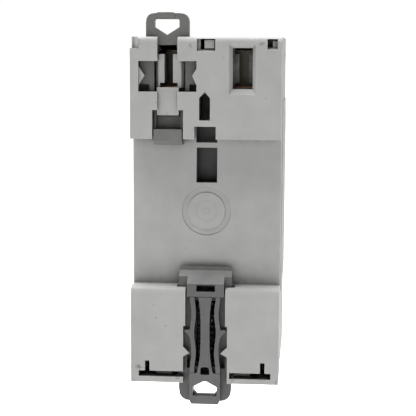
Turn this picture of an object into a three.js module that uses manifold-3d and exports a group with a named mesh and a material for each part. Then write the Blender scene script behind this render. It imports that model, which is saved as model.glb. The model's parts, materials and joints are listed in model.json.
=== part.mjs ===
// Two-module residual current device for a 35 mm top-hat rail, with its mechanism, terminals and rail clips.
// Millimetres. Origin at the centre of the rail seat: +Y runs out of the device's front, +Z is up.

import * as THREE from 'three';
import { mergeVertices } from 'three/addons/utils/BufferGeometryUtils.js';
import Module from 'manifold-3d';

const wasm = await Module();
wasm.setup();

// ---- driving dimensions ----

const baseHalfWidth = 17.9;
const coverHalfWidth = 17.75;
const padHalfWidth = 18;
const wall = 1.8;
const topZ = 41.9;
const bottomZ = -41.4;
const rearY = -5.5;
const seatHalfHeight = 17.85;
const innerFloorY = 2;
const seamY = 8;
const seamGap = 0.25;
const shoulderY = 44;
const noseY = 56;
const noseHalfHeight = 22.5;

// Rail clips: two flat mouldings that slide under lips moulded on the rear of the base.
const lipDepth = 1.6;
const slotY = [rearY + lipDepth, -1];
const clipY = [-3.5, -1.3];
const upperClipX = -9;
const lowerClipX = 0.15;

// Poles and terminals.
const poles = [['left', -9], ['right', 9]];
const cage = { halfWidth: 5.25, wall: 1.2, rearY: 7.5, frontY: 30, plate: 2.8, length: 9 };
const lineCageZ = 29.9;
const loadCageZ = -38.2;
const barY = [20.5, 22.5];
const barHalfWidth = 3.8;
const screw = { shank: 2, hole: 2.15, tipY: 22.9, headY: 35.4, headR: 3.3, headH: 3, bore: 3.5 };

// Mechanism: toggle, link and contact carrier turn about pins that run along X.
const toggle = { x: [-13, 0], y: 48.5, z: 0, hub: 8.9, reach: 16.3, tilt: 28, crank: 6 };
const carrier = { y: 22, z: -2, r: 4.5, x: 13.8, lever: 12.5, leverTurn: -13 };
const webX = [-8, -5];
const pinR = 1.2;
const pinHoleR = 1.35;
const tripShaft = { y: 37, z: -2.5, r: 1.5 };
const plunger = { x: 9.2, y: 41.5, r: 0.6 };
const flag = { x: [6.3, 12.7], y: 49, z: -6.5, r: 4 };
const button = { x: 9.5, z: 7.5, half: 3.1 };
const toroid = { y: 17.9, z: -18, inner: 7.5, outer: 12.5, half: 4 };

// ---- finishes ----

const finishes = {
  housing: new THREE.MeshStandardMaterial({ color: 0xaaaaa7, roughness: 0.55, metalness: 0 }),
  clip: new THREE.MeshStandardMaterial({ color: 0x6c6c68, roughness: 0.6, metalness: 0 }),
  black: new THREE.MeshStandardMaterial({ color: 0x1c1c1d, roughness: 0.5, metalness: 0 }),
  steel: new THREE.MeshStandardMaterial({ color: 0xb9bcc0, roughness: 0.35, metalness: 1 }),
  passivated: new THREE.MeshStandardMaterial({ color: 0xb98d5c, roughness: 0.35, metalness: 1 }),
  copper: new THREE.MeshStandardMaterial({ color: 0xb8714a, roughness: 0.35, metalness: 1 }),
  brass: new THREE.MeshStandardMaterial({ color: 0xc9a85a, roughness: 0.3, metalness: 1 }),
  silver: new THREE.MeshStandardMaterial({ color: 0xdcdcdc, roughness: 0.3, metalness: 1 }),
  lead: new THREE.MeshStandardMaterial({ color: 0x3a5f9a, roughness: 0.5, metalness: 0 }),
  ferrite: new THREE.MeshStandardMaterial({ color: 0x55565a, roughness: 0.6, metalness: 0 }),
  button: new THREE.MeshStandardMaterial({ color: 0xe0a21a, roughness: 0.4, metalness: 0 }),
  clear: new THREE.MeshStandardMaterial({ color: 0xe8f0f2, roughness: 0.1, metalness: 0 }),
  resistor: new THREE.MeshStandardMaterial({ color: 0xc8b48c, roughness: 0.5, metalness: 0 }),
};

// ---- solids ----

const frames = {
  x: new THREE.Matrix4().makeBasis(
    new THREE.Vector3(0, 1, 0), new THREE.Vector3(0, 0, 1), new THREE.Vector3(1, 0, 0)),
  y: new THREE.Matrix4().makeBasis(
    new THREE.Vector3(1, 0, 0), new THREE.Vector3(0, 0, 1), new THREE.Vector3(0, -1, 0)),
  z: new THREE.Matrix4(),
};

function toSolid(geometry) {
  geometry.deleteAttribute('normal');
  geometry.deleteAttribute('uv');
  const merged = mergeVertices(geometry, 1e-4);
  return new wasm.Manifold(new wasm.Mesh({
    numProp: 3,
    vertProperties: merged.attributes.position.array,
    triVerts: Uint32Array.from(merged.index.array),
  }));
}

function toGeometry(solid) {
  const mesh = solid.getMesh();
  const geometry = new THREE.BufferGeometry();
  geometry.setAttribute('position', new THREE.BufferAttribute(mesh.vertProperties, 3));
  geometry.setIndex(new THREE.BufferAttribute(mesh.triVerts, 1));
  geometry.computeVertexNormals();
  return geometry;
}

function block([x0, x1], [y0, y1], [z0, z1]) {
  const geometry = new THREE.BoxGeometry(x1 - x0, y1 - y0, z1 - z0);
  return toSolid(geometry.translate((x0 + x1) / 2, (y0 + y1) / 2, (z0 + z1) / 2));
}

// A corner [u, v, r] is rounded over r; [u, v] stays sharp.
function outline(corners) {
  const shape = new THREE.Shape();
  corners.forEach(([u, v, r = 0], i) => {
    const corner = new THREE.Vector2(u, v);
    const before = new THREE.Vector2(...corners.at(i - 1).slice(0, 2)).sub(corner).setLength(r).add(corner);
    const next = corners[(i + 1) % corners.length];
    const after = new THREE.Vector2(...next.slice(0, 2)).sub(corner).setLength(r).add(corner);
    if (i === 0) shape.moveTo(before.x, before.y);
    else shape.lineTo(before.x, before.y);
    if (r > 0) shape.quadraticCurveTo(u, v, after.x, after.y);
  });
  return shape;
}

// Outline coordinates are (y, z) for a prism along x, (x, z) along y and (x, y) along z.
function prism(axis, corners, [from, to]) {
  const geometry = new THREE.ExtrudeGeometry(outline(corners), {
    depth: to - from, bevelEnabled: false, curveSegments: 4 });
  geometry.translate(0, 0, axis === 'y' ? -to : from);
  return toSolid(geometry.applyMatrix4(frames[axis]));
}

// centre is (y, z) for a rod along x, (x, z) along y and (x, y) along z.
function rod(axis, [u, v], radius, [from, to], sides = 16) {
  const geometry = new THREE.CylinderGeometry(radius, radius, to - from, sides);
  geometry.translate(0, (from + to) / 2, 0);
  if (axis === 'x') geometry.rotateZ(-Math.PI / 2).translate(0, u, v);
  if (axis === 'y') geometry.translate(u, 0, v);
  if (axis === 'z') geometry.rotateX(Math.PI / 2).translate(u, v, 0);
  return toSolid(geometry);
}

function sleeve(axis, centre, outer, inner, [from, to], sides = 16) {
  return rod(axis, centre, outer, [from, to], sides)
    .subtract(rod(axis, centre, inner, [from - 1, to + 1], sides));
}

function wire(points, radius, steps, sides = 8) {
  const section = new THREE.Shape();
  section.absarc(0, 0, radius, 0, 2 * Math.PI);
  const ring = new THREE.Shape(section.getPoints(sides / 4).slice(0, -1));
  const path = new THREE.CatmullRomCurve3(points.map((p) => new THREE.Vector3(...p)), false, 'catmullrom', 0.3);
  return toSolid(new THREE.ExtrudeGeometry(ring, { steps, extrudePath: path, bevelEnabled: false }));
}

function join(...solids) {
  return solids.reduce((whole, solid) => whole.add(solid));
}

function cut(solid, ...tools) {
  return tools.reduce((left, tool) => left.subtract(tool), solid);
}

// Turns a solid about an axis along X through (y, z).
function turnX(solid, degrees, { y, z }) {
  return solid.translate([0, -y, -z]).rotate([degrees, 0, 0]).translate([0, y, z]);
}

const span = (centre, half) => [centre - half, centre + half];
const through = [-60, 60];

// ---- rear base ----

function baseBlank() {
  const side = [
    [seamY, bottomZ], [seamY, topZ], [rearY, topZ, 1.4], [rearY, seatHalfHeight], [0, seatHalfHeight],
    [0, -seatHalfHeight], [rearY, -seatHalfHeight, 2], [rearY, bottomZ, 0.4],
  ];
  const shell = prism('x', side.reverse(), span(0, baseHalfWidth));
  const cavity = block(span(0, baseHalfWidth - wall), [innerFloorY, seamY + 1], [bottomZ + wall, topZ - wall]);
  const coring = [
    block([3.5, 15.9], [-3.7, innerFloorY + 1], [19.8, 27.2]),
    block([-15.9, -8.7], [-3.7, innerFloorY + 1], [-35, -20.6]),
    block([8.9, 15.9], [-3.7, innerFloorY + 1], [-35, -20.6]),
  ];
  return cut(shell, cavity, ...coring);
}

// The opening between the lips of the upper clip, with a pointed detent in its right-hand side window.
function upperChannel() {
  const top = topZ + 1;
  const foot = seatHalfHeight - 1;
  const lips = prism('y', [
    [-12.63, foot], [-5.25, foot], [-5.25, 24.7], [-6.62, 24.7], [-6.62, 29], [-2.1, 29], [-2.1, 30.5],
    [-3.1, 32.8], [-2.1, 34.4], [-2.1, 36.2], [-6.63, 36.2], [-6.63, top], [-11.42, top],
    [-11.42, 36.2], [-15.92, 36.2], [-15.92, 29], [-11.43, 29], [-11.43, 24.7], [-12.63, 24.7],
  ], [rearY - 1, slotY[0] + 0.1]);
  const slide = join(
    block([-16.2, -2], slotY, [21, 40.4]),
    block([-14.6, -3.8], slotY, [40, top]),
    block([-13.25, -5.1], slotY, [foot, 21.5]),
  );
  return join(lips, slide);
}

// The rib in the middle of the upper channel, which the clip slides around; its foot overhangs the clip.
function upperRib() {
  const broad = prism('z', [[-12, 0], [-12, -2.5], [-11.3, -3.6], [-5.9, -3.6], [-5.2, -2.6], [-5.2, 0]],
    [29.9, 37.8]);
  return join(broad, block([-11.6, -6.4], [-4.4, 0], [26.7, 30]), block([-11.6, -6.4], [-4.4, -2.6], [23.4, 27]));
}

// The left-hand window's detent sits deeper than the right-hand one.
function sunkDetent() {
  return prism('y', [[-16.1, 30.2], [-14.5, 32.8], [-16.1, 35.2]], [-4.9, -3.9]);
}

// I-shaped slot through to the terminal behind it.
function terminalSlot(x, stemHalf, headHalf, headZ) {
  return join(
    block(span(x, stemHalf), [rearY - 1, innerFloorY + 1], [30, 38.5]),
    block(span(x, headHalf), [-3.9, innerFloorY + 1], [37.85, headZ]),
    block(span(x, 2.1), [-3.9, innerFloorY + 1], [29.75, 31.07]),
  );
}

function rightWindow() {
  const outer = { x: [5.5, 11.85], z: [28.3, 40.25] };
  const inner = { x: [6.35, 11.05], z: [29.7, 39.3] };
  const corners = [];
  for (const [{ x, z }, y] of [[outer, rearY - 0.01], [inner, rearY + 1.1]]) {
    for (const u of x) for (const v of z) corners.push([u, y, v]);
  }
  const bevel = wasm.Manifold.hull(corners);
  return join(bevel, block(inner.x, [rearY, 0.3], inner.z));
}

function centreHoles() {
  const arrow = prism('y', [[-1.48, 22.3], [1.12, 22.3], [1.12, 27.6], [-0.15, 29], [-1.48, 27.6]], [-7, 3]);
  return join(arrow, block([-2.6, 2.5], [-7, 3], [16.7, 20.85]), block([-2.55, 2.5], [-7, 3], [7, 15.5]));
}

function seatMark() {
  const ring = rod('y', [-0.05, 0.1], 6, [-1, 0.25], 40);
  return ring.subtract(rod('y', [-0.05, 0.1], 4.5, [-2, 1], 40));
}

function lowerChannel() {
  const foot = bottomZ - 1;
  const head = -seatHalfHeight + 1;
  const lips = prism('y', [
    [-4.65, head], [-4.65, -27.2], [-5.15, -27.2], [-5.15, -32.4], [-3.71, -33.9], [-5.15, -34.8],
    [-5.15, foot], [5.5, foot], [5.5, -34.8], [3.95, -33.9], [5.5, -32.4], [5.5, -27.2], [5, -27.2], [5, head],
  ], [rearY - 1, slotY[0] + 0.1]);
  const slide = block(span(lowerClipX, 7), slotY, [foot, head]);
  const springPocket = block([-2.3, 2.6], [slotY[1] - 0.1, 2.8], [-37.2, -20.6]);
  return join(lips, slide, springPocket);
}

function lowerSlots() {
  return join(
    block([-15.97, -5.1], [-7, 3], [-39.9, -38.5]),
    block([-14.44, -13.34], [-7, 3], [-39, -36]),
    block([6.05, 16.05], [-7, 3], [-40.1, -38.6]),
    block([13.5, 14.6], [-7, 3], [-39, -36]),
  );
}

// Pocket in the rear face whose lower edge slopes outwards.
function edgePocket(x, [z0, z1], depthY) {
  const sill = prism('x', [[rearY - 1, z0 - 0.6], [rearY, z0 - 0.5], [rearY + 1, z0], [rearY - 1, z0]], x);
  return join(block(x, [rearY - 1, depthY], [z0, z1]), sill);
}

function edgeNotches() {
  const lug = block([15.7, 17], [-4.4, -1], [39.3, 41]);
  const slant = prism('z', [
    [-19, rearY - 1], [-15.7, rearY - 1], [-15.7, rearY], [-17.2, -2.2], [-19, -2.2],
  ], [39.2, topZ + 1]);
  return join(
    edgePocket([-2.05, 2.3], [38.9, 41.4], -4.4),
    block([-1.25, 2.3], [-5, innerFloorY + 1], [38.9, 41.4]),
    block([-1.25, 2.3], [-3.9, innerFloorY + 1], [38.2, 41.4]),
    edgePocket([14.5, 16.9], [39.4, 41.4], -1.5).subtract(lug),
    slant,
  );
}

function rearBase() {
  const ribs = join(
    block(span(0, 0.7), [1, 19], [30, 37.6]),
    block([-3.8, 4.1], [1, 4], [-38.3, -19.4]),
  );
  return join(
    cut(join(baseBlank(), ribs), upperChannel(), lowerChannel(), centreHoles(), seatMark(),
      rightWindow(), lowerSlots(), edgeNotches()),
    upperRib(), sunkDetent(),
  ).subtract(terminalSlot(-8.88, 1.03, 2.65, 39.9)).subtract(terminalSlot(8.8, 1.15, 2.3, 39.3));
}

// ---- front cover ----

function coverBlank() {
  const rear = seamY + seamGap;
  const profile = (inset) => [
    [rear - (inset ? 1 : 0), bottomZ + inset], [shoulderY - inset, bottomZ + inset, inset ? 0 : 1.2],
    [shoulderY - inset, -noseHalfHeight + inset], [noseY - inset, -noseHalfHeight + inset, inset ? 0 : 1.5],
    [noseY - inset, noseHalfHeight - inset, inset ? 0 : 1.5], [shoulderY - inset, noseHalfHeight - inset],
    [shoulderY - inset, topZ - inset, inset ? 0 : 1.2], [rear - (inset ? 1 : 0), topZ - inset],
  ];
  const shell = prism('x', profile(0), span(0, coverHalfWidth));
  return shell.subtract(prism('x', profile(wall), span(0, coverHalfWidth - wall)));
}

// Raised frames round the toggle, the test button and the indicator window.
function noseFrames() {
  return join(
    block([-15, 2], [noseY - 0.5, noseY + 0.8], span(0, 9.7)),
    block(span(button.x, button.half + 1.5), [noseY - 0.5, noseY + 0.5], span(button.z, button.half + 1.5)),
    block([4.9, 14.1], [noseY - 0.5, noseY + 0.5], [-10.2, -2.8]),
  );
}

function coverOpenings() {
  const tools = [
    block([-13.6, 0.6], [noseY - 3, noseY + 1], span(0, 8.2)),
    block(span(button.x, button.half + 0.2), [noseY - 3, noseY + 1], span(button.z, button.half + 0.2)),
    block([5.9, 13.1], [noseY - 3, noseY + 1], [-9.3, -3.7]),
  ];
  for (const [, x] of poles) {
    tools.push(block(span(x, 4.4), [9.3, 20.6], [topZ - wall - 1, topZ + 1]));
    tools.push(block(span(x, 4.4), [9.3, 20.6], [bottomZ - 1, bottomZ + wall + 1]));
    for (const z of screwZs()) tools.push(rod('y', [x, z], screw.bore, [36, 46]));
  }
  return tools;
}

// Shallow recesses: label fields, counterbores, wire mouths, the groove between poles, assembly rivets.
function coverRecesses() {
  const tools = [
    block(span(0, 15.6), [noseY - 0.4, noseY + 1], [13.2, 20.4]),
    block(span(0, 15.6), [noseY - 0.4, noseY + 1], [-20.4, -13]),
    block(span(0, 0.4), [shoulderY - 0.9, shoulderY + 1], [noseHalfHeight, topZ + 1]),
    block(span(0, 0.4), [shoulderY - 0.9, shoulderY + 1], [bottomZ - 1, -noseHalfHeight]),
  ];
  for (const [, x] of poles) {
    tools.push(block(span(x, 5.1), [8.8, 21.2], [topZ - 0.5, topZ + 1]));
    tools.push(block(span(x, 5.1), [8.8, 21.2], [bottomZ - 1, bottomZ + 0.5]));
    for (const z of screwZs()) tools.push(rod('y', [x, z], screw.bore + 0.8, [shoulderY - 0.6, shoulderY + 1]));
  }
  for (const [y, z] of [[40.2, 37.6], [40.2, -37.4], [12.5, 31.5], [12.5, -27.5]]) {
    tools.push(rod('x', [y, z], 1.9, [coverHalfWidth - 0.5, coverHalfWidth + 1]));
    tools.push(rod('x', [y, z], 1.9, [-coverHalfWidth - 1, -coverHalfWidth + 0.5]));
  }
  return tools;
}

function screwZs() {
  return [lineCageZ, loadCageZ].map((z) => z + cage.length / 2);
}

// Tongues that snap into the notches along the top and bottom edges of the base.
function coverHooks() {
  const hook = (x, rootY, tongueZ, headZ, rootZ) => join(
    block(x, [-3.4, rootY], tongueZ),
    block(x, [-3.4, -1], headZ),
    block(x, [seamY + 0.5, rootY], rootZ),
  );
  const lowerHook = (x, z) => hook(x, 9.1, [z - 0.6, z], [z - 1, z], [z - 1.3, z]);
  const upperHook = hook([-0.3, 2], 14, [38.5, 39.8], [38.5, 41.1], [38.5, 41]);
  const nib = block([-0.3, 2], [-4.7, -3.3], [39.2, 41.1]);
  return join(upperHook, nib, lowerHook([7, 11], -38.9), lowerHook([-12, -8], -38.7));
}

function frontCover() {
  const tubes = poles.flatMap(([, x]) => screwZs().map((z) => rod('y', [x, z], screw.bore + 0.9, [38.7, 43])));
  const ears = [[5, 6], [13, 14]].map((x) => block(x, [47, noseY - 1], [-8.5, -4.5]));
  const pads = [-1, 1].map((s) => {
    const x = [s * (coverHalfWidth - 0.5), s * padHalfWidth].sort((a, b) => a - b);
    return block(x, [seamY + 1.2, shoulderY - 4], [-21, 26]);
  });
  const solid = join(coverBlank(), noseFrames(), ...tubes, ...ears, ...pads);
  const core = cut(solid, ...coverOpenings(), ...coverRecesses());
  return join(core, coverHooks()).subtract(rod('x', [flag.y, flag.z], 1, [4, 15]));
}

// ---- rail clips ----

function upperClip() {
  const outer = prism('y', [
    [-12.4, 16.36], [-5.38, 16.36], [-5.38, 24], [-2.4, 25], [-2.4, 28.6], [-3.95, 28.6], [-3.95, 30.7],
    [-2.4, 30.7], [-2.4, 36], [-4.06, 37], [-4.06, 47.4, 2.2], [-14.3, 47.4, 2.2], [-14.3, 37],
    [-15.7, 36], [-15.7, 30.7], [-13.5, 30.7], [-13.5, 28.6], [-15.7, 28.6], [-15.7, 25], [-12.4, 24],
  ], clipY);
  const grip = prism('y', [[-11.7, 46.4], [-7.6, 46.4], [-7.6, 47.6, 0.4], [-11.7, 47.6, 0.4]],
    [clipY[0] - 0.4, clipY[1] + 0.4]);
  const jaw = block([-12.3, -5.6], [-5.2, clipY[0] + 0.5], [16.36, 20.1]);
  const jawBevel = prism('x', [[-6, 18.2], [-5.2, 17.2], [-2.8, 15.9], [-6, 15.9]], through);
  return cut(
    join(outer, grip, jaw),
    block([-11.9, -6.1], [-6, -2.3], [20.1, 24]),
    block([-11.9, -6.1], [-6, 1], [23.1, 27]),
    block([-12.35, -4.9], [-6, 1], [26.6, 40]),
    prism('y', [[-9.3, 42.26], [-6.34, 44.13], [-6.34, 46, 0.5], [-12.27, 46, 0.5], [-12.27, 44.13]], [-6, 1]),
    jawBevel,
  );
}

const clipArm = { outerX: 3.75, thick: 1.15, topZ: -20.1, footZ: -38.9, waist: 0.42, wave: 9.6 };

// Half-gap from the clip's centre line to an arm's inner face; each arm bows inwards above and below its barb.
function armInnerX(z) {
  const bow = Math.sin(Math.PI * (z + 29) / clipArm.wave) ** 2;
  return clipArm.outerX - clipArm.thick - clipArm.waist * bow;
}

function armZs() {
  return Array.from({ length: 17 }, (_, i) => THREE.MathUtils.lerp(clipArm.footZ, clipArm.topZ, i / 16));
}

function springArm(side) {
  const inner = armZs().map((z) => [lowerClipX + side * armInnerX(z), z]);
  const outer = armZs().map((z) => [lowerClipX + side * (armInnerX(z) + clipArm.thick), z]).reverse();
  const arm = prism('y', side > 0 ? [...inner, ...outer].reverse() : [...inner, ...outer], [-5.3, -3.55]);
  const barb = [[3.4, -28.2], [5, -28.2], [5, -28.8], [4.25, -29.3], [3.8, -30], [3.5, -31]]
    .map(([u, z]) => [lowerClipX + side * u, z]);
  return join(arm, prism('y', side > 0 ? barb.reverse() : barb, [-5.3, -3.55]));
}

// The hourglass rib between the arms.
function ribHalf(z) {
  return 1.06 + 0.85 * Math.abs((z + 28.9) / 9.9) ** 3;
}

function lowerClip() {
  const x = lowerClipX;
  const plate = prism('y', [
    [x - 6.5, -46.3, 3], [x + 6.3, -46.3, 3], [x + 6.3, -13.3, 0.3], [x - 6.5, -13.3, 0.3],
  ], clipY);
  const ribZs = Array.from({ length: 17 }, (_, i) => -39.4 + i * 1.2);
  const ribSide = (s) => ribZs.map((z) => [x + s * ribHalf(z), z]);
  const rib = prism('y', [...ribSide(1), ...ribSide(-1).reverse()], [-5.3, -3]);
  const head = prism('y', [[x - 4.4, -20.05], [x + 4.5, -20.05], [x + 4.5, -14.6], [x - 4.4, -14.6]], [-5.3, -3]);
  const foot = prism('y', [
    [x - 3.35, -46.6], [x + 3.25, -46.6], [x + 3.65, -45.75], [x + 3.65, -38.95], [x - 3.75, -38.95],
    [x - 3.75, -45.75],
  ], [-5.3, -3]);
  const tab = block([x - 2.05, x + 2.05], [-2, 2.4], [-22, -20.9]);
  const gaps = [-1, 1].map((s) => {
    const near = armZs().filter((z) => z > -38.8 && z < -20.2).map((z) => [x + s * (ribHalf(z) + 0.02), z]);
    const far = armZs().filter((z) => z > -38.8 && z < -20.2).map((z) => [x + s * (armInnerX(z) + 0.05), z]).reverse();
    return prism('y', s > 0 ? [...near, ...far].reverse() : [...near, ...far], [-6, 0]);
  });
  const eye = (corners, depth) => prism('y', [
    [x - 2.95, -42.3], ...corners, [x + 2.9, -42.3], [x + 0.4, -40.95], [x - 0.4, -40.95],
  ], depth);
  const frontEye = eye([[x - 2.95, -44.6], [x + 2.9, -44.6]], [-6, clipY[0] + 0.1]);
  const rearEye = eye([[x - 2.95, -43.9], [x - 2.1, -44.9], [x + 2.05, -44.9], [x + 2.9, -43.9]], [clipY[0], 1]);
  const jawRamp = prism('x', [[-6, -17.48], [-2, -14.15], [-2, -12], [-6, -12]], through);
  return cut(
    join(plate, rib, head, foot, tab),
    ...gaps, frontEye, rearEye, jawRamp,
    block([x - 2.15, x + 2.35], [-6, 1], [-18.8, -17.2]),
    prism('y', [[x - 1.1, -39.3], [x + 1.05, -39.3], [x + 1.05, -37.35, 0.8], [x - 1.1, -37.35, 0.8]], [-6, 1]),
    block([x - 4.5, x - 3.5], [-6, 1], [-38.1, -34.9]),
    block([x + 3.6, x + 4.7], [-6, 1], [-38.1, -34.9]),
  );
}

function lowerClipSpring() {
  return sleeve('z', [lowerClipX, 0.9], 1.75, 1.15, [-37, -22.2]);
}

// ---- terminals ----

// side is +1 where the cable enters from above, -1 from below.
function terminalCage(x, z, side) {
  const outer = block(span(x, cage.halfWidth), [cage.rearY, cage.frontY], [z, z + cage.length]);
  const mouth = block(span(x, cage.halfWidth - cage.wall), [cage.rearY + 1.5, cage.frontY - cage.plate],
    [z - 1, z + cage.length + 1]);
  const edge = side > 0 ? [z + cage.length - 0.5, z + cage.length] : [z, z + 0.5];
  const guard = block(span(x, 2.4), [3, cage.rearY + 0.5], edge);
  return join(outer, guard).subtract(mouth)
    .subtract(rod('y', [x, z + cage.length / 2], screw.hole, [cage.frontY - 4, cage.frontY + 1]));
}

function terminalScrew(x, z) {
  const head = [screw.headY, screw.headY + screw.headH];
  const centre = [x, z + cage.length / 2];
  const recess = join(
    block(span(centre[0], 0.45), [head[1] - 1.6, head[1] + 1], span(centre[1], 2.4)),
    block(span(centre[0], 2.4), [head[1] - 1.6, head[1] + 1], span(centre[1], 0.45)),
  );
  return join(
    rod('y', centre, screw.shank, [screw.tipY, screw.headY + 0.5], 12),
    rod('y', centre, screw.headR, head, 20),
  ).subtract(recess);
}

function lineBar(x) {
  return block(span(x, barHalfWidth), barY, [13, 38.2]);
}

function loadBar(x) {
  return block(span(x, barHalfWidth), barY, [-37.6, -28]);
}

// ---- contacts ----

const tipZ = [13.5, 17.5];

function fixedTip(x) {
  return block(span(x, 1.8), [18.95, 20.3], tipZ);
}

function movingTip(x) {
  return block(span(x, 1.8), [17.2, 18.75], tipZ);
}

function contactArm(x) {
  return prism('x', [[15, -5], [17, -5], [17, 18], [15, 18.6]], span(x, 2));
}

function contactSpring(x) {
  return sleeve('y', [x, 4.5], 1.5, 1, [11, 14.8], 12);
}

function contactCarrier() {
  const drum = rod('x', [carrier.y, carrier.z], carrier.r, span(0, carrier.x), 24);
  const flats = poles.map(([, x]) => block(span(x, 2.4), [10, 17.3], through));
  const shrouds = poles.map(([, x]) => block(span(x, 3.4), [9.3, 20], [-3, 7])
    .subtract(block(span(x, 2.4), [10.8, 17.3], through)));
  const lever = block(webX, [carrier.y, carrier.y + carrier.lever + 2], span(carrier.z, 2));
  const slot = join(...[-1.5, 0.2].map((shift) => rod('x',
    [carrier.y + carrier.lever + shift, carrier.z], 0.95, through, 12)),
  block(webX.map((v, i) => v + (i ? 1 : -1)),
    [carrier.y + carrier.lever - 1.5, carrier.y + carrier.lever + 0.2], span(carrier.z, 0.95)));
  const turned = turnX(lever.subtract(slot), carrier.leverTurn, carrier);
  const body = join(cut(drum, ...flats), ...shrouds, turned);
  return body.subtract(rod('x', [carrier.y, carrier.z], pinHoleR, through, 16));
}

// Flexible lead from a contact arm through the transformer to the load bar.
function flexibleLead(x) {
  const s = Math.sign(x);
  return wire([
    [x, 16, -5.6], [s * 7.6, 16.6, -8.6], [s * 4, toroid.y, -11.6], [s * 2.9, toroid.y, -14],
    [s * 2.9, toroid.y, -22], [s * 3.6, 18, -24.2], [s * 7.3, 20.8, -24.9], [x, 21.5, -27],
  ], 1.4, 20);
}

// ---- mechanism ----

function toggleHandle() {
  const { y, z, hub, reach, tilt } = toggle;
  const sector = [[y, z]];
  for (let i = -10; i <= 10; i += 1) {
    const a = (i * 9.8) * Math.PI / 180;
    sector.push([y + hub * Math.cos(a), z + hub * Math.sin(a)]);
  }
  const wings = prism('x', sector, toggle.x);
  const hollow = prism('x', sector.map(([u, v]) => [y + (u - y) * 0.76, z + (v - z) * 0.76]), [-12, -1]);
  const lever = prism('x', [
    [y + hub - 1.5, z - 3.1], [y + reach, z - 1.9, 0.9], [y + reach, z + 1.9, 0.9], [y + hub - 1.5, z + 3.1],
  ], [-12.4, -0.6]);
  const boss = rod('x', [y, z], 3.2, toggle.x, 20);
  const crank = block(webX, [y - toggle.crank - 2, y], span(z, 2));
  const web = block(webX, [y, y + hub - 1], span(z, 2));
  const whole = cut(
    join(wings.subtract(hollow), lever, boss, crank, web),
    rod('x', [y, z], pinHoleR, through, 16),
    rod('x', [y - toggle.crank, z], 0.95, through, 12),
  );
  return turnX(whole, tilt, toggle);
}

function linkEnds() {
  const at = (centre, radius, degrees) => {
    const a = degrees * Math.PI / 180;
    return [centre.y + radius * Math.cos(a), centre.z + radius * Math.sin(a)];
  };
  return [at(toggle, toggle.crank, 180 + toggle.tilt), at(carrier, carrier.lever, carrier.leverTurn)];
}

// Wire link: a leg beside the webs, with an end bent through the toggle's crank and one through the lever.
function driveLink() {
  const [a, b] = linkEnds();
  const leg = prism('x', [[b[0] - 0.7, b[1] - 0.7], [a[0] + 0.7, a[1] - 0.7], [a[0] + 0.7, a[1] + 0.7],
    [b[0] - 0.7, b[1] + 0.7]], [-9.8, -8.6]);
  return join(leg, rod('x', a, 0.7, [-9, -4.4], 12), rod('x', b, 0.7, [-9, -4.4], 12));
}

function mechanismPlate(x) {
  const plate = prism('x', [
    [28.5, -7], [33, -10], [46, -10], [52, -5, 1], [52, 5, 1], [46, 10], [33, 10], [28.5, 7],
  ], x);
  return cut(plate, rod('x', [toggle.y, toggle.z], pinHoleR, through),
    rod('x', [tripShaft.y, tripShaft.z], tripShaft.r + 0.3, through), block(through, [40, 44], [3, 7]));
}

function toggleSpring() {
  return sleeve('x', [toggle.y, toggle.z], 2.6, 1.5, [1.7, 4.2]);
}

function tripLever() {
  return join(
    rod('x', [tripShaft.y, tripShaft.z], tripShaft.r, [0.2, 15.2]),
    block([7, 11.5], [tripShaft.y, 43.4], [-3.5, -2.3]),
    block([2, 4], [31, tripShaft.y], [-3.2, -2]),
  );
}

function relayBody() {
  const can = block([3.5, 15], [31.8, 43.5], [-20.2, -9.5]);
  return can.subtract(rod('z', [plunger.x, plunger.y], plunger.r + 0.25, [-14, -9], 12));
}

function indicatorFlag() {
  return join(
    rod('x', [flag.y, flag.z], flag.r, flag.x, 20),
    rod('x', [flag.y, flag.z], 0.85, [5.2, 13.8], 12),
  );
}

// ---- test circuit ----

function testButton() {
  const { x, z, half } = button;
  return join(
    prism('y', [[x - half, z - half, 0.6], [x + half, z - half, 0.6], [x + half, z + half, 0.6],
      [x - half, z + half, 0.6]], [51.9, 57.4]),
    block(span(x, 4.1), [51.9, 53.9], span(z, 4.1)),
    rod('y', [x, z], 1.3, [41.8, 52.5], 12),
  );
}

function testSpring() {
  return sleeve('y', [button.x, button.z], 2.6, 1.7, [44.7, 51.7], 12);
}

function testBracket() {
  return block([5, 15.7], [43, 44.5], [2.6, 12.4]).subtract(rod('y', [button.x, button.z], 1.6, [40, 46], 12));
}

function testBlade() {
  return join(block([8, 11], [38.9, 39.3], [3, 16]), block([8, 11], [38.9, 41], [15.6, 16]));
}

function testResistor() {
  return join(
    rod('x', [40.5, 18.2], 1.5, [4.5, 11.5]),
    rod('x', [40.5, 18.2], 0.35, [2.4, 13.6], 8),
  );
}

function arcChute(x) {
  const plates = [4.4, 7.2, 10, 12.8, 15.6].map((y) => block(span(x, 4.2), [y, y + 0.8], [21.2, 28.4]));
  return join(block(span(x, 4.2), [4.4, 16.4], [27.8, 28.8]), ...plates);
}

// Insulating wall between the two poles' contacts, with a flange along its rear edge.
function poleBarrier() {
  return join(block(span(0, 3), [5.5, 6.7], [4, 28.5]), block(span(0, 0.7), [6.5, 28], [8, 28.5]));
}

function toroidCore() {
  const { y, z, inner, outer, half } = toroid;
  return sleeve('z', [0, y], outer, inner, span(z, half), 36);
}

// The winding is an open-ended wrap over most of the ring.
function toroidWinding() {
  const { y, z, inner, outer, half } = toroid;
  const wrap = sleeve('z', [0, y], outer + 0.9, inner - 0.9, span(z, half + 0.9), 36);
  const room = sleeve('z', [0, y], outer + 0.3, inner - 0.3, span(z, half + 0.3), 36);
  return wrap.subtract(room).subtract(block([-3.2, 3.2], [y + 4, y + 16], [-40, 0]));
}

// ---- assembly ----

const device = new THREE.Group();

function add(name, finish, solid) {
  const mesh = new THREE.Mesh(toGeometry(solid), finishes[finish]);
  mesh.name = name;
  device.add(mesh);
}

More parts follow.
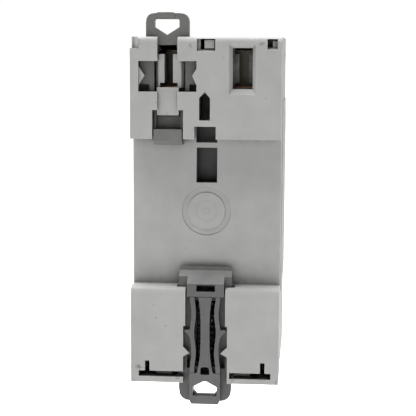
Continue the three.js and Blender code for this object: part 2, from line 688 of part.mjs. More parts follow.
add('rear_base', 'housing', rearBase());
add('front_cover', 'housing', frontCover());
add('upper_rail_clip', 'clip', upperClip());
add('lower_rail_clip', 'clip', lowerClip());
add('lower_clip_arm_left', 'clip', springArm(-1));
add('lower_clip_arm_right', 'clip', springArm(1));
add('lower_clip_spring', 'steel', lowerClipSpring());

for (const [pole, x] of poles) {
  add(`line_terminal_cage_${pole}`, 'passivated', terminalCage(x, lineCageZ, 1));
  add(`load_terminal_cage_${pole}`, 'passivated', terminalCage(x, loadCageZ, -1));
  add(`line_terminal_screw_${pole}`, 'steel', terminalScrew(x, lineCageZ));
  add(`load_terminal_screw_${pole}`, 'steel', terminalScrew(x, loadCageZ));
  add(`line_bar_${pole}`, 'copper', lineBar(x));
  add(`load_bar_${pole}`, 'copper', loadBar(x));
  add(`fixed_tip_${pole}`, 'silver', fixedTip(x));
  add(`moving_tip_${pole}`, 'silver', movingTip(x));
  add(`contact_arm_${pole}`, 'copper', contactArm(x));
  add(`contact_spring_${pole}`, 'steel', contactSpring(x));
  add(`flexible_lead_${pole}`, 'lead', flexibleLead(x));
  add(`arc_chute_${pole}`, 'steel', arcChute(x));
}

add('pole_barrier', 'black', poleBarrier());
add('contact_carrier', 'black', contactCarrier());
add('carrier_pin', 'steel', rod('x', [carrier.y, carrier.z], pinR, span(0, 15.6), 12));
add('toggle_handle', 'black', toggleHandle());
add('toggle_pin', 'steel', rod('x', [toggle.y, toggle.z], pinR, [-15.6, 4.8], 12));
add('toggle_spring', 'steel', toggleSpring());
add('drive_link', 'steel', driveLink());
add('mechanism_plate_left', 'steel', mechanismPlate([-14.4, -13.4]));
add('mechanism_plate_right', 'steel', mechanismPlate([0.4, 1.4]));
add('trip_lever', 'black', tripLever());
add('trip_relay', 'black', relayBody());
add('relay_plunger', 'steel', rod('z', [plunger.x, plunger.y], plunger.r, [-13.5, -3.9], 12));
add('toroid_core', 'ferrite', toroidCore());
add('toroid_winding', 'copper', toroidWinding());
add('indicator_flag', 'button', indicatorFlag());
add('indicator_window', 'clear', block([6.1, 12.9], [54.4, 55.7], [-9.1, -3.9]));
add('test_button', 'button', testButton());
add('test_spring', 'steel', testSpring());
add('test_bracket', 'black', testBracket());
add('test_contact_blade', 'brass', testBlade());
add('test_resistor', 'resistor', testResistor());

export default device;
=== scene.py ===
import json
import math
import bpy
from mathutils import Matrix, Vector


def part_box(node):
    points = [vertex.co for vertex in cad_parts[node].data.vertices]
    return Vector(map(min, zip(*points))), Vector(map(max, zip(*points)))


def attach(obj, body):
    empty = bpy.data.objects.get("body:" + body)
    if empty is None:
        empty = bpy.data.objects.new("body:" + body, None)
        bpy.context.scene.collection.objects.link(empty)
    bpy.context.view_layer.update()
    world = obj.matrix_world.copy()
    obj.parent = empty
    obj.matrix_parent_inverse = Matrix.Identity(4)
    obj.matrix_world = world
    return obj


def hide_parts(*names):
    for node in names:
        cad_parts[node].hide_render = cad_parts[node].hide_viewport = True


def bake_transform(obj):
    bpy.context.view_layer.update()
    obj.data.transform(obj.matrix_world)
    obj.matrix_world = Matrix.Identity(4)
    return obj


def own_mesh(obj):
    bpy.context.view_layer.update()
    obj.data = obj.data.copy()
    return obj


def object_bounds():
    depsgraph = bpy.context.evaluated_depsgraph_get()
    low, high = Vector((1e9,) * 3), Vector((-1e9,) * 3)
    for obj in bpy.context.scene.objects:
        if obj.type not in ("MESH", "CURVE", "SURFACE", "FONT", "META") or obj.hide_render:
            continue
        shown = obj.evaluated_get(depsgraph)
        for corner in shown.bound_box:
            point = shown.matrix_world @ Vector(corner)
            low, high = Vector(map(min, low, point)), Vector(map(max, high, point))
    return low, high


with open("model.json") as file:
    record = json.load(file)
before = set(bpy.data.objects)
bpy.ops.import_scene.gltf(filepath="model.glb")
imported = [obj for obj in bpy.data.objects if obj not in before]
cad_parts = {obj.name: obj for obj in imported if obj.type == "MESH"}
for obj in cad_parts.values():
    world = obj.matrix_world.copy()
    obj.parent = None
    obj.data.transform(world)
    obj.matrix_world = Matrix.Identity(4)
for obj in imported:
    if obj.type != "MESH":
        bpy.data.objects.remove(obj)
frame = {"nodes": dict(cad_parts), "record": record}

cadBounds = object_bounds()
record = frame["record"]
bodyOf = {node: body for body, nodes in record["behaviour"]["bodies"].items() for node in nodes}
slotOf = {part["node"]: part["material_slot"] for part in record["subparts"]}
mm = 0.001


cameraSetup = {"place": (24.45, -293.0, 39.06), "yaw": 4.71, "pitch": 7.41, "roll": 0.27, "lens": 105.84}
studio = {"floorDrop": 60, "floorSize": 40000, "paper": (0.95, 0.95, 0.95), "paperRoughness": 0.95,
          "behindCamera": 0.16, "around": 1.02, "aroundBand": (-0.95, 0.5),  # 1 is plain white
          "overhead": 1.25, "overheadBand": (0.35, 1), "flankShade": 0.45, "flankBand": (0.3, 0.95),
          "backdrop": 1.02, "key": 17.5, "keyPlace": (-150, 0, 780), "keySize": (700, 700)}


def buildCamera(setup):
    bpy.ops.object.camera_add()
    camera = bpy.context.object
    camera.name = "camera"
    turn = (Matrix.Rotation(math.radians(setup["yaw"]), 4, "Z")
            @ Matrix.Rotation(math.radians(90 - setup["pitch"]), 4, "X")
            @ Matrix.Rotation(math.radians(setup["roll"]), 4, "Z"))
    camera.matrix_world = Matrix.Translation(Vector(setup["place"]) * mm) @ turn
    camera.data.lens = setup["lens"]
    camera.data.sensor_width = 36
    camera.data.clip_start = 0.01
    bpy.context.scene.camera = camera


def addArea(name, place, size, power):
    bpy.ops.object.light_add(type="AREA", location=Vector(place) * mm)
    light = bpy.context.object
    light.name = name
    light.data.shape = "RECTANGLE"
    light.data.size, light.data.size_y = (side * mm for side in size)
    light.data.energy = power
    light.rotation_euler = (-light.location).to_track_quat("-Z", "Y").to_euler()


def buildStudio(setup):
    bpy.context.scene.view_settings.view_transform = "Standard"
    world = bpy.data.worlds.new("studio")
    bpy.context.scene.world = world
    world.use_nodes = True
    tree = world.node_tree
    way = node(tree, "ShaderNodeSeparateXYZ", {0: node(tree, "ShaderNodeTexCoord").outputs["Generated"]})
    around = node(tree, "ShaderNodeMapRange", {
        "Value": way.outputs["Y"], "From Min": setup["aroundBand"][0], "From Max": setup["aroundBand"][1],
        "To Min": setup["behindCamera"], "To Max": setup["around"]})
    above = node(tree, "ShaderNodeMapRange", {
        "Value": way.outputs["Z"], "From Min": setup["overheadBand"][0],
        "From Max": setup["overheadBand"][1], "To Min": 0, "To Max": setup["overhead"]})
    aside = node(tree, "ShaderNodeMapRange", {
        "Value": maths(tree, "ABSOLUTE", way.outputs["X"]), "From Min": setup["flankBand"][0],
        "From Max": setup["flankBand"][1], "To Min": 0, "To Max": setup["flankShade"]})
    strength = maths(tree, "ADD", around.outputs[0], above.outputs[0])
    lighting = maths(tree, "SUBTRACT", strength, aside.outputs[0])
    direct = node(tree, "ShaderNodeLightPath").outputs["Is Camera Ray"]
    seen = maths(tree, "MULTIPLY", direct, setup["backdrop"])  # the backdrop stays white from every side
    tree.links.new(maths(tree, "MAXIMUM", lighting, seen), tree.nodes["Background"].inputs["Strength"])
    tree.nodes["Background"].inputs["Color"].default_value = (1, 1, 1, 1)
    addArea("keyLight", setup["keyPlace"], setup["keySize"], setup["key"])
    low = min(corner[2] for corner in cadBounds)
    bpy.ops.mesh.primitive_plane_add(size=setup["floorSize"] * mm,
                                     location=(0, 0, low - setup["floorDrop"] * mm))
    floor = bpy.context.object
    floor.name = "floor"
    floor.data.materials.append(plainMaterial("floorPaper", setup["paper"], setup["paperRoughness"]))


def plainMaterial(name, colour, roughness):
    material = bpy.data.materials.new(name)
    material.use_nodes = True
    shader = material.node_tree.nodes["Principled BSDF"]
    shader.inputs["Base Color"].default_value = (*colour, 1)
    shader.inputs["Roughness"].default_value = roughness
    return material


def newGroup(name, inputs, outputs):
    group = bpy.data.node_groups.new(name, "ShaderNodeTree")
    for label, kind, value in inputs:
        socket = group.interface.new_socket(label, in_out="INPUT", socket_type=kind)
        if value is not None:
            socket.default_value = value
    for label, kind in outputs:
        group.interface.new_socket(label, in_out="OUTPUT", socket_type=kind)
    start = group.nodes.new("NodeGroupInput")
    end = group.nodes.new("NodeGroupOutput")
    return group, start, end


def node(tree, kind, values=None, **settings):
    made = tree.nodes.new(kind)
    for key, value in settings.items():
        setattr(made, key, value)
    for key, value in (values or {}).items():
        if isinstance(value, bpy.types.NodeSocket):
            tree.links.new(value, made.inputs[key])
        else:
            made.inputs[key].default_value = value
    return made


def maths(tree, operation, first, second=0.0):
    return node(tree, "ShaderNodeMath", {0: first, 1: second}, operation=operation).outputs[0]


def apartBy(tree, place, spot):
    made = node(tree, "ShaderNodeVectorMath", {0: place, 1: tuple(Vector(spot) * mm)}, operation="DISTANCE")
    return made.outputs["Value"]


# Fine spark-eroded texture with broad, faint unevenness under it.
def buildGrainGroup():
    group, start, end = newGroup(
        "mouldGrain",
        [("Grain Scale", "NodeSocketFloat", 9000), ("Mottle Scale", "NodeSocketFloat", 120)],
        [("Height", "NodeSocketFloat"), ("Mottle", "NodeSocketFloat")])
    place = node(group, "ShaderNodeTexCoord").outputs["Object"]
    fine = node(group, "ShaderNodeTexNoise",
                {"Vector": place, "Scale": start.outputs["Grain Scale"], "Detail": 3, "Roughness": 0.6})
    broad = node(group, "ShaderNodeTexNoise",
                 {"Vector": place, "Scale": start.outputs["Mottle Scale"], "Detail": 4, "Roughness": 0.55})
    group.links.new(fine.outputs["Fac"], end.inputs["Height"])
    group.links.new(broad.outputs["Fac"], end.inputs["Mottle"])
    return group


# Mask of edges that handling has rubbed: bright on convex edges, broken up by noise.
def buildWearGroup():
    group, start, end = newGroup(
        "edgeWear",
        [("Radius", "NodeSocketFloat", 0.0004), ("Break Up", "NodeSocketFloat", 500)],
        [("Mask", "NodeSocketFloat")])
    rounded = node(group, "ShaderNodeBevel", {"Radius": start.outputs["Radius"]}, samples=4)
    normal = node(group, "ShaderNodeNewGeometry").outputs["Normal"]
    along = node(group, "ShaderNodeVectorMath", {0: rounded.outputs[0], 1: normal}, operation="DOT_PRODUCT")
    edge = node(group, "ShaderNodeMapRange", {
        "Value": along.outputs["Value"], "From Min": 0.995, "From Max": 0.9, "To Min": 0, "To Max": 1})
    place = node(group, "ShaderNodeTexCoord").outputs["Object"]
    patches = node(group, "ShaderNodeTexNoise",
                   {"Vector": place, "Scale": start.outputs["Break Up"], "Detail": 3})
    broken = node(group, "ShaderNodeMapRange", {
        "Value": patches.outputs["Fac"], "From Min": 0.38, "From Max": 0.62, "To Min": 0, "To Max": 1})
    group.links.new(maths(group, "MULTIPLY", edge.outputs[0], broken.outputs[0]), end.inputs["Mask"])
    return group


# Sparse specks of dirt and moulding flecks.
def buildSpeckGroup():
    group, start, end = newGroup(
        "specks",
        [("Scale", "NodeSocketFloat", 400), ("Size", "NodeSocketFloat", 0.12),
         ("Rarity", "NodeSocketFloat", 0.62)],
        [("Mask", "NodeSocketFloat")])
    place = node(group, "ShaderNodeTexCoord").outputs["Object"]
    cells = node(group, "ShaderNodeTexVoronoi", {"Vector": place, "Scale": start.outputs["Scale"]})
    spots = maths(group, "LESS_THAN", cells.outputs["Distance"], start.outputs["Size"])
    where = node(group, "ShaderNodeTexNoise", {"Vector": place, "Scale": 150, "Detail": 2})
    here = maths(group, "GREATER_THAN", where.outputs["Fac"], start.outputs["Rarity"])
    group.links.new(maths(group, "MULTIPLY", spots, here), end.inputs["Mask"])
    return group


# Long fine marks of rolling or drawing, as stretched noise.
def buildDrawnGroup():
    group, start, end = newGroup(
        "drawnMarks",
        [("Stretch", "NodeSocketVector", (400, 400, 6000)), ("Strength", "NodeSocketFloat", 1)],
        [("Height", "NodeSocketFloat"), ("Tone", "NodeSocketFloat")])
    place = node(group, "ShaderNodeTexCoord").outputs["Object"]
    long = node(group, "ShaderNodeVectorMath", {0: place, 1: start.outputs["Stretch"]}, operation="MULTIPLY")
    marks = node(group, "ShaderNodeTexNoise", {"Vector": long.outputs[0], "Scale": 1, "Detail": 4})
    patches = node(group, "ShaderNodeTexNoise", {"Vector": place, "Scale": 260, "Detail": 3})
    group.links.new(maths(group, "MULTIPLY", marks.outputs["Fac"], start.outputs["Strength"]),
                    end.inputs["Height"])
    group.links.new(patches.outputs["Fac"], end.inputs["Tone"])
    return group


# Mask of corners and hollows where light hardly reaches, for painted shade, and the same mask broken up by
# noise, for painted shade with dust.
def buildRecessShadeGroup():
    group, start, end = newGroup(
        "recesses",
        [("Distance", "NodeSocketFloat", 0.006), ("Break Up", "NodeSocketFloat", 700)],
        [("Mask", "NodeSocketFloat"), ("ShadeAndDust", "NodeSocketFloat")])
    shut = node(group, "ShaderNodeAmbientOcclusion", {"Distance": start.outputs["Distance"]}, samples=8)
    shadeMask = node(group, "ShaderNodeMapRange", {"Value": shut.outputs["AO"], "From Min": 0.72, "From Max": 0.22,
                                              "To Min": 0, "To Max": 1})
    place = node(group, "ShaderNodeTexCoord").outputs["Object"]
    patches = node(group, "ShaderNodeTexNoise",
                   {"Vector": place, "Scale": start.outputs["Break Up"], "Detail": 4, "Roughness": 0.65})
    broken = node(group, "ShaderNodeMapRange", {
        "Value": patches.outputs["Fac"], "From Min": 0.46, "From Max": 0.62, "To Min": 0, "To Max": 1})
    group.links.new(shadeMask.outputs[0], end.inputs["Mask"])
    group.links.new(maths(group, "MULTIPLY", shadeMask.outputs[0], broken.outputs[0]), end.inputs["ShadeAndDust"])
    return group


effects = {"grain": buildGrainGroup(), "wear": buildWearGroup(), "specks": buildSpeckGroup(),
           "drawn": buildDrawnGroup(), "recesses": buildRecessShadeGroup()}


def startMaterial(name):
    material = bpy.data.materials.new(name)
    material.use_nodes = True
    tree = material.node_tree
    return material, tree, tree.nodes["Principled BSDF"]


def effect(tree, name, values=None):
    return node(tree, "ShaderNodeGroup", values, node_tree=effects[name])


def mixColour(tree, factor, first, second):
    made = node(tree, "ShaderNodeMix", data_type="RGBA")
    for socket, value in ((made.inputs[0], factor), (made.inputs[6], first), (made.inputs[7], second)):
        if isinstance(value, bpy.types.NodeSocket):
            tree.links.new(value, socket)
        else:
            socket.default_value = value
    return made.outputs[2]


def ranged(tree, value, low, high):
    return node(tree, "ShaderNodeMapRange", {"Value": value, "From Min": 0.3, "From Max": 0.7,
                                             "To Min": low, "To Max": high}).outputs[0]


def shade(colour, factor):
    return tuple(min(1, part * factor) for part in colour) + (1,)


# Painted shade in and around the rear's moulded pockets, as soft dark round patches broken up by noise.
def pocketShaded(tree, colour, pocketShades, tone):
    place = node(tree, "ShaderNodeTexCoord").outputs["Object"]
    patches = node(tree, "ShaderNodeTexNoise",
                   {"Vector": place, "Scale": 1100, "Detail": 5, "Roughness": 0.7})
    for spot, radius, amount in pocketShades:
        near = node(tree, "ShaderNodeMapRange", {
            "Value": apartBy(tree, place, spot), "From Min": radius * mm, "From Max": 0.3 * radius * mm,
            "To Min": 0, "To Max": amount})
        dense = node(tree, "ShaderNodeMapRange", {"Value": patches.outputs["Fac"], "From Min": 0.47,
                                                  "From Max": 0.56, "To Min": 0, "To Max": 1})
        colour = mixColour(tree, maths(tree, "MULTIPLY", near.outputs[0], dense.outputs[0]), colour, tone)
    return colour


# Faint turned rings, as thin lines at each distance from a centre.
def ringed(tree, colour, rings, tone):
    place = node(tree, "ShaderNodeTexCoord").outputs["Object"]
    for spot, radius, amount in rings:
        off = maths(tree, "ABSOLUTE", maths(tree, "SUBTRACT", apartBy(tree, place, spot), radius * mm))
        line = node(tree, "ShaderNodeMapRange", {"Value": off, "From Min": 0.22 * mm, "From Max": 0.05 * mm,
                                                 "To Min": 0, "To Max": amount})
        colour = mixColour(tree, line.outputs[0], colour, tone)
    return colour


def mouldedMaterial(name, look):
    material, tree, shader = startMaterial(name)
    grain = effect(tree, "grain", {"Grain Scale": look["grainScale"], "Mottle Scale": look["mottleScale"]})
    tone = mixColour(tree, ranged(tree, grain.outputs["Mottle"], 0, 1),
                     shade(look["colour"], 1 - look["mottle"]), shade(look["colour"], 1 + look["mottle"]))
    wear = effect(tree, "wear", {"Radius": look["wearRadius"]})
    worn = mixColour(tree, maths(tree, "MULTIPLY", wear.outputs["Mask"], look["wear"]), tone,
                     (*look["wearColour"], 1))
    specks = effect(tree, "specks", {"Scale": look["speckScale"], "Rarity": look["speckRarity"]})
    dirtAndShade = mixColour(tree, maths(tree, "MULTIPLY", specks.outputs["Mask"], look["specks"]), worn,
                      shade(look["colour"], 0.3))
    # Specks are dirt; the dark patches at the pockets are painted shade.
    dirtAndShade = pocketShaded(tree, dirtAndShade, look.get("pocketShades", ()), shade(look["colour"], 0.22))
    dirtAndShade = ringed(tree, dirtAndShade, look.get("rings", ()), shade(look["colour"], 0.6))
    # Corners and hollows are painted darker as shade, and darker still in noisy patches as shade with dust.
    recess = effect(tree, "recesses", {"Distance": look["recessReach"]})
    recessShaded = mixColour(tree, maths(tree, "MULTIPLY", recess.outputs["Mask"], look["recess"]), dirtAndShade,
                     shade(look["colour"], 0.3))
    shadedAndDusty = mixColour(tree, maths(tree, "MULTIPLY", recess.outputs["ShadeAndDust"], look["recessDirt"]), recessShaded,
                      shade(look["colour"], 0.14))
    tree.links.new(shadedAndDusty, shader.inputs["Base Color"])
    tree.links.new(ranged(tree, grain.outputs["Mottle"], look["roughness"] + 0.07, look["roughness"] - 0.07),
                   shader.inputs["Roughness"])
    bump = node(tree, "ShaderNodeBump", {"Height": grain.outputs["Height"], "Strength": look["bump"],
                                         "Distance": 0.00006})
    tree.links.new(bump.outputs[0], shader.inputs["Normal"])
    shader.inputs["Specular IOR Level"].default_value = look["specular"]
    return material


def metalMaterial(name, look):
    material, tree, shader = startMaterial(name)
    drawn = effect(tree, "drawn", {"Stretch": look["stretch"]})
    tone = mixColour(tree, ranged(tree, drawn.outputs["Tone"], 0, 1),
                     shade(look["colour"], 1 - look["patch"]), shade(look["colour"], 1 + look["patch"]))
    wear = effect(tree, "wear", {"Radius": 0.0002})
    worn = mixColour(tree, maths(tree, "MULTIPLY", wear.outputs["Mask"], 0.6), tone,
                     shade(look["colour"], 1.35))
    tree.links.new(worn, shader.inputs["Base Color"])
    tree.links.new(ranged(tree, drawn.outputs["Tone"], look["roughness"] - 0.08, look["roughness"] + 0.08),
                   shader.inputs["Roughness"])
    bump = node(tree, "ShaderNodeBump", {"Height": drawn.outputs["Height"], "Strength": 0.25,
                                         "Distance": 0.00003})
    tree.links.new(bump.outputs[0], shader.inputs["Normal"])
    shader.inputs["Metallic"].default_value = 1
    return material


mouldedLooks = {
    "housing": {"colour": (0.236, 0.236, 0.23), "roughness": 0.6, "mottle": 0.05, "mottleScale": 160,
                "grainScale": 9000, "bump": 0.35, "wear": 0.35, "wearColour": (0.42, 0.42, 0.41),
                "wearRadius": 0.0004, "specks": 0.3, "speckScale": 420, "speckRarity": 0.62,
                "specular": 0.28, "recess": 0.9, "recessReach": 0.006, "recessDirt": 0.5,
                "rings": (((-0.05, 0, 0.1), 2.5, 0.22), ((-0.05, 0, 0.1), 0.7, 0.3)),
                # spots, radii and strengths of the painted shade at the pockets
                "pocketShades": (((-16.4, -5.2, 40.2), 1.6, 0.8), ((-3.4, -5.3, 39.9), 0.8, 0.8),
                            ((13.2, -5.3, 40.2), 0.9, 0.6), ((-17.3, -5.2, -40.8), 0.7, 0.9),
                            ((17.3, -5.2, -40.8), 0.7, 0.9), ((-15.8, -5.4, -37.4), 1.2, 0.7),
                            ((6.4, -5.4, -40.2), 1.3, 0.6), ((-6.6, -5.4, -39.9), 1.0, 0.5))},
    "clip": {"colour": (0.078, 0.078, 0.074), "roughness": 0.46, "mottle": 0.08, "mottleScale": 220,
             "grainScale": 8000, "bump": 0.4, "wear": 0.4, "wearColour": (0.19, 0.19, 0.18),
             "wearRadius": 0.0003, "specks": 0.3, "speckScale": 600, "speckRarity": 0.6, "specular": 0.5,
             "recess": 0.8, "recessReach": 0.004, "recessDirt": 0.25},
    "black_moulding": {"colour": (0.013, 0.013, 0.014), "roughness": 0.42, "mottle": 0.1,
                       "mottleScale": 260, "grainScale": 9000, "bump": 0.3, "wear": 0.35,
                       "wearColour": (0.09, 0.09, 0.09), "wearRadius": 0.0003, "specks": 0.2,
                       "speckScale": 700, "speckRarity": 0.6, "specular": 0.5, "recess": 0.3,
                       "recessReach": 0.003, "recessDirt": 0.1},
    "lead_insulation": {"colour": (0.03, 0.09, 0.3), "roughness": 0.4, "mottle": 0.06, "mottleScale": 300,
                        "grainScale": 5000, "bump": 0.15, "wear": 0.1, "wearColour": (0.2, 0.3, 0.5),
                        "wearRadius": 0.0002, "specks": 0.2, "speckScale": 700, "speckRarity": 0.65,
                        "specular": 0.5, "recess": 0.2, "recessReach": 0.002, "recessDirt": 0.1},
    "ferrite": {"colour": (0.05, 0.05, 0.055), "roughness": 0.6, "mottle": 0.15, "mottleScale": 500,
                "grainScale": 7000, "bump": 0.6, "wear": 0.3, "wearColour": (0.2, 0.2, 0.2),
                "wearRadius": 0.0003, "specks": 0.3, "speckScale": 900, "speckRarity": 0.55,
                "specular": 0.4, "recess": 0.2, "recessReach": 0.002, "recessDirt": 0.1},
    "test_button": {"colour": (0.68, 0.31, 0.02), "roughness": 0.32, "mottle": 0.04, "mottleScale": 240,
                    "grainScale": 9000, "bump": 0.15, "wear": 0.3, "wearColour": (0.8, 0.5, 0.2),
                    "wearRadius": 0.0003, "specks": 0.2, "speckScale": 700, "speckRarity": 0.65,
                    "specular": 0.5, "recess": 0.3, "recessReach": 0.002, "recessDirt": 0.15},
}
metalLooks = {
    "steel": {"colour": (0.4, 0.41, 0.42), "roughness": 0.42, "patch": 0.08, "stretch": (500, 500, 7000)},
    "spring_steel": {"colour": (0.62, 0.62, 0.62), "roughness": 0.42, "patch": 0.08,
                     "stretch": (3000, 3000, 3000)},
    "plated_screw": {"colour": (0.66, 0.65, 0.62), "roughness": 0.27, "patch": 0.06,
                     "stretch": (2500, 2500, 2500)},
    "passivated_steel": {"colour": (0.085, 0.078, 0.062), "roughness": 0.36, "patch": 0.16,
                         "stretch": (600, 5000, 600)},
    "copper": {"colour": (0.72, 0.34, 0.2), "roughness": 0.34, "patch": 0.14, "stretch": (5000, 500, 500)},
    "brass": {"colour": (0.7, 0.52, 0.22), "roughness": 0.32, "patch": 0.1, "stretch": (5000, 500, 500)},
    "silver_tip": {"colour": (0.8, 0.79, 0.77), "roughness": 0.3, "patch": 0.06,
                   "stretch": (3000, 3000, 3000)},
    "enamelled_copper": {"colour": (0.5, 0.16, 0.06), "roughness": 0.26, "patch": 0.12,
                         "stretch": (2000, 2000, 2000)},
}


def lensMaterial():
    material, tree, shader = startMaterial("clear_lens")
    grain = effect(tree, "grain", {"Grain Scale": 3000, "Mottle Scale": 200})
    tree.links.new(ranged(tree, grain.outputs["Mottle"], 0.04, 0.12), shader.inputs["Roughness"])
    shader.inputs["Base Color"].default_value = (0.96, 0.98, 0.98, 1)
    shader.inputs["Transmission Weight"].default_value = 1
    shader.inputs["IOR"].default_value = 1.5
    return material


# The flag's drum is red where it faces out with the contacts closed, and green with them open.
def flagMaterial():
    material, tree, shader = startMaterial("indicator")
    hinge = next(joint for joint in record["behaviour"]["joints"] if joint["name"] == "indicator_hinge")
    place = node(tree, "ShaderNodeTexCoord").outputs["Object"]
    out = node(tree, "ShaderNodeVectorMath", {0: place, 1: hinge["pos_m"]}, operation="SUBTRACT")
    half = math.radians(hinge["range_deg"][1] / 2)
    along = node(tree, "ShaderNodeVectorMath", {0: out.outputs[0], 1: (0, math.sin(half), math.cos(half))},
                 operation="DOT_PRODUCT")
    redSide = maths(tree, "GREATER_THAN", along.outputs["Value"], 0)
    grain = effect(tree, "grain", {"Mottle Scale": 300})
    shadeMix = mixColour(tree, redSide, (0.03, 0.3, 0.08, 1), (0.52, 0.03, 0.02, 1))
    tone = mixColour(tree, ranged(tree, grain.outputs["Mottle"], 0, 0.2), shadeMix, (0.6, 0.5, 0.4, 1))
    tree.links.new(tone, shader.inputs["Base Color"])
    bump = node(tree, "ShaderNodeBump", {"Height": grain.outputs["Height"], "Strength": 0.15,
                                         "Distance": 0.00005})
    tree.links.new(bump.outputs[0], shader.inputs["Normal"])
    shader.inputs["Roughness"].default_value = 0.35
    return material


resistorBands = {"width": 0.07, "rings": (  # each ring's start, as a share of the length, and its colour
    (0.22, (0.03, 0.012, 0.006)), (0.36, (0.012, 0.012, 0.012)), (0.5, (0.35, 0.02, 0.01)),
    (0.72, (0.45, 0.3, 0.06)))}


# Colour rings of the resistor, as constant steps along its length.
def bandedMaterial():
    plain = {**mouldedLooks["test_button"], "colour": (0.5, 0.4, 0.24),
             "wearColour": (0.6, 0.5, 0.35)}
    material = mouldedMaterial("resistor", plain)
    tree = material.node_tree
    shader = tree.nodes["Principled BSDF"]
    low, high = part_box("test_resistor")
    apart = node(tree, "ShaderNodeSeparateXYZ", {0: node(tree, "ShaderNodeTexCoord").outputs["Object"]})
    along = node(tree, "ShaderNodeMapRange", {"Value": apart.outputs["X"], "From Min": low[0],
                                              "From Max": high[0], "To Min": 0, "To Max": 1})
    colour = shader.inputs["Base Color"].links[0].from_socket
    for start, ring in resistorBands["rings"]:
        after = maths(tree, "GREATER_THAN", along.outputs[0], start)
        before = maths(tree, "LESS_THAN", along.outputs[0], start + resistorBands["width"])
        colour = mixColour(tree, maths(tree, "MULTIPLY", after, before), colour, (*ring, 1))
    tree.links.new(colour, shader.inputs["Base Color"])
    return material


# Pieces given a darker copy of their slot's material, as painted shade.
ownLooks = {"lower_rail_clip": "clip_painted_shade", "lower_clip_arm_left": "clip_painted_shade",
            "lower_clip_arm_right": "clip_painted_shade"}


def buildMaterials():
    made = {name: mouldedMaterial(name, look) for name, look in mouldedLooks.items()}
    made.update({name: metalMaterial(name, look) for name, look in metalLooks.items()})
    made["clear_lens"] = lensMaterial()
    made["indicator"] = flagMaterial()
    made["resistor"] = bandedMaterial()
    # The lower clip's darker copy of the clip material is painted shade.
    shadedClipLook = {**mouldedLooks["clip"], "colour": (0.048, 0.048, 0.047), "wearColour": (0.16, 0.16, 0.155)}
    made["clip_painted_shade"] = mouldedMaterial("clip_painted_shade", shadedClipLook)
    return made


materials = buildMaterials()
print("materials ready:", len(materials))


def only(obj):
    bpy.ops.object.select_all(action="DESELECT")
    obj.select_set(True)
    bpy.context.view_layer.objects.active = obj


def applyModifier(obj, kind, **settings):
    modifier = obj.modifiers.new(kind.lower(), kind)
    for key, value in settings.items():
        setattr(modifier, key, value)
    only(obj)
    bpy.ops.object.modifier_apply(modifier=modifier.name)


def finishPiece(obj, body, slot, replaced=(), smooth=35):
    look = ownLooks.get(replaced[0], slot) if replaced else slot
    only(obj)
    bpy.ops.object.shade_smooth_by_angle(angle=math.radians(smooth))
    applyModifier(obj, "WEIGHTED_NORMAL", mode="FACE_AREA", weight=60, keep_sharp=True)
    obj.data.materials.clear()
    obj.data.materials.append(materials[look])
    if body:
        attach(obj, body)
    if replaced:
        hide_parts(*replaced)


# A node's solid, copied, cleaned of its triangulation and given rounded edges.
def refinedCopy(name, bevel):
    source = frame["nodes"][name]
    piece = bpy.data.objects.new(name + "_finished", source.data.copy())
    bpy.context.scene.collection.objects.link(piece)
    only(piece)
    bpy.ops.object.mode_set(mode="EDIT")
    bpy.ops.mesh.select_all(action="SELECT")
    bpy.ops.mesh.remove_doubles(threshold=0.002 * mm)
    bpy.ops.mesh.dissolve_limited(angle_limit=math.radians(0.8))
    bpy.ops.object.mode_set(mode="OBJECT")
    applyModifier(piece, "BEVEL", width=bevel * mm, segments=2, limit_method="ANGLE",
                  angle_limit=math.radians(28), use_clamp_overlap=True, harden_normals=False)
    finishPiece(piece, bodyOf[name], slotOf[name], (name,))
    return piece


def inEdit(obj, *steps):
    only(obj)
    bpy.ops.object.mode_set(mode="EDIT")
    bpy.ops.mesh.select_all(action="SELECT")
    for step in steps:
        step()
    bpy.ops.object.mode_set(mode="OBJECT")


# Turns a piece built along Z to lie along the named axis, moves it, and leaves its object at the origin.
def layAlong(obj, axis, place):
    only(obj)
    obj.rotation_euler = {"X": (0, math.pi / 2, 0), "Y": (-math.pi / 2, 0, 0), "Z": (0, 0, 0)}[axis]
    obj.location = Vector(place) * mm
    bpy.ops.object.transform_apply()


def joined(name, *objects):
    bpy.ops.object.select_all(action="DESELECT")
    for obj in objects:
        obj.select_set(True)
    bpy.context.view_layer.objects.active = objects[0]
    if len(objects) > 1:
        bpy.ops.object.join()
    whole = bpy.context.object
    whole.name = name
    return whole


bevels = {
    "rear_base": 0.22, "front_cover": 0.3, "upper_rail_clip": 0.2, "lower_rail_clip": 0.16,
    "lower_clip_arm_left": 0.14, "lower_clip_arm_right": 0.14, "test_button": 0.25,
    "indicator_window": 0.2, "contact_carrier": 0.2, "trip_lever": 0.2, "trip_relay": 0.4,
    "test_bracket": 0.2, "test_contact_blade": 0.08, "pole_barrier": 0.15, "indicator_flag": 0.15,
    "drive_link": 0.2, "mechanism_plate_left": 0.12, "mechanism_plate_right": 0.12,
    "toggle_pin": 0.2, "carrier_pin": 0.2, "relay_plunger": 0.15, "toroid_core": 0.4,
    "test_resistor": 0.4,
}
for pole in ("left", "right"):
    bevels.update({
        f"line_bar_{pole}": 0.15, f"load_bar_{pole}": 0.15, f"fixed_tip_{pole}": 0.2,
        f"moving_tip_{pole}": 0.2, f"contact_arm_{pole}": 0.2, f"arc_chute_{pole}": 0.1,
    })
for name, width in bevels.items():
    refinedCopy(name, width)
print("solids finished:", len(bevels))


